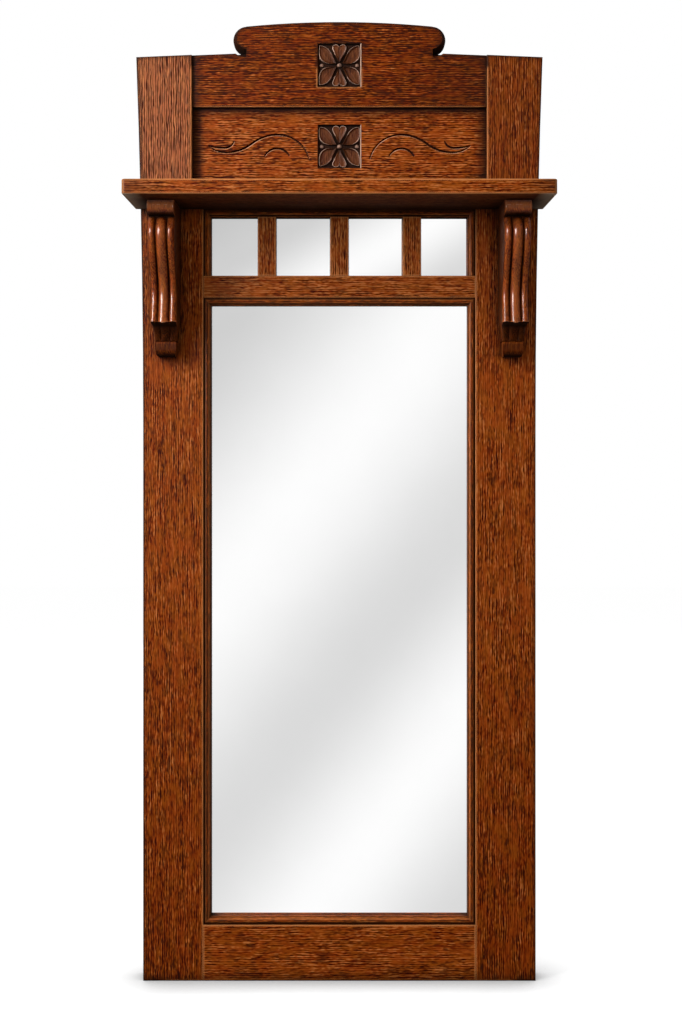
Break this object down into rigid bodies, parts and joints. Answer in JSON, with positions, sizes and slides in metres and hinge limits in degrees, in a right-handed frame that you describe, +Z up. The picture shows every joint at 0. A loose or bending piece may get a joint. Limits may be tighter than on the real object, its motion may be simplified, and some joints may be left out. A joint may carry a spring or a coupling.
{
  "type": "hall mirror with shelf",
  "caption": "Tall oak wall mirror: a large glass under a row of small mirror lights, a shelf on carved corbels, and an arched crest with flower rosettes and scroll lines.",
  "frame": {"origin": "middle of the bottom edge of the frame, on the wall plane", "axes": "+X to the right seen from the front, +Y into the wall, +Z up; the front faces -Y"},
  "size_m": [0.468, 0.13, 1.1],
  "materials": {
    "stained_oak": "oak, red-brown stain, satin varnish",
    "dark_carved_oak": "carved oak, darker stain, rubbed on the high edges",
    "silvered_glass": "polished",
    "pine_backing": "sawn, unfinished",
    "steel_screws": "dull",
    "aged_brass": "aged"
  },
  "bodies": {
    "frame": {"left_stile": "stained_oak", "right_stile": "stained_oak", "bottom_rail": "stained_oak", "transom_rail": "stained_oak", "shelf_rail": "stained_oak", "crest_rail": "stained_oak", "crest_panel": "stained_oak", "shelf": "stained_oak", "left_corbel": "stained_oak", "right_corbel": "stained_oak", "mullion_1": "stained_oak", "mullion_2": "stained_oak", "mullion_3": "stained_oak", "main_bead_left": "stained_oak", "main_bead_right": "stained_oak", "main_bead_top": "stained_oak", "main_bead_bottom": "stained_oak", "lights_bead_left": "stained_oak", "lights_bead_right": "stained_oak", "lights_bead_top": "stained_oak", "upper_rosette": "dark_carved_oak", "lower_rosette": "dark_carved_oak", "main_mirror": "silvered_glass", "light_mirror_1": "silvered_glass", "light_mirror_2": "silvered_glass", "light_mirror_3": "silvered_glass", "light_mirror_4": "silvered_glass", "main_backboard": "pine_backing", "lights_backboard": "pine_backing", "light_fillets": "pine_backing", "main_fillet_left": "pine_backing", "main_fillet_right": "pine_backing", "main_fillet_top": "pine_backing", "main_fillet_bottom": "pine_backing", "shelf_screws": "steel_screws", "corbel_screws": "steel_screws", "backboard_screws": "aged_brass", "hanger_screws": "aged_brass", "left_hanger_strap": "aged_brass", "right_hanger_strap": "aged_brass"},
    "left_ring": {"left_hanger_ring": "aged_brass"},
    "right_ring": {"right_hanger_ring": "aged_brass"}
  },
  "joints": [
    {"name": "left_ring_swing", "type": "hinge", "parent": "frame", "child": "left_ring", "pos_m": [-0.125, -0.0042, 1.036], "axis": [-1, 0, 0], "range_deg": [0, 175]},
    {"name": "right_ring_swing", "type": "hinge", "parent": "frame", "child": "right_ring", "pos_m": [0.125, -0.0042, 1.036], "axis": [-1, 0, 0], "range_deg": [0, 175]}
  ]
}
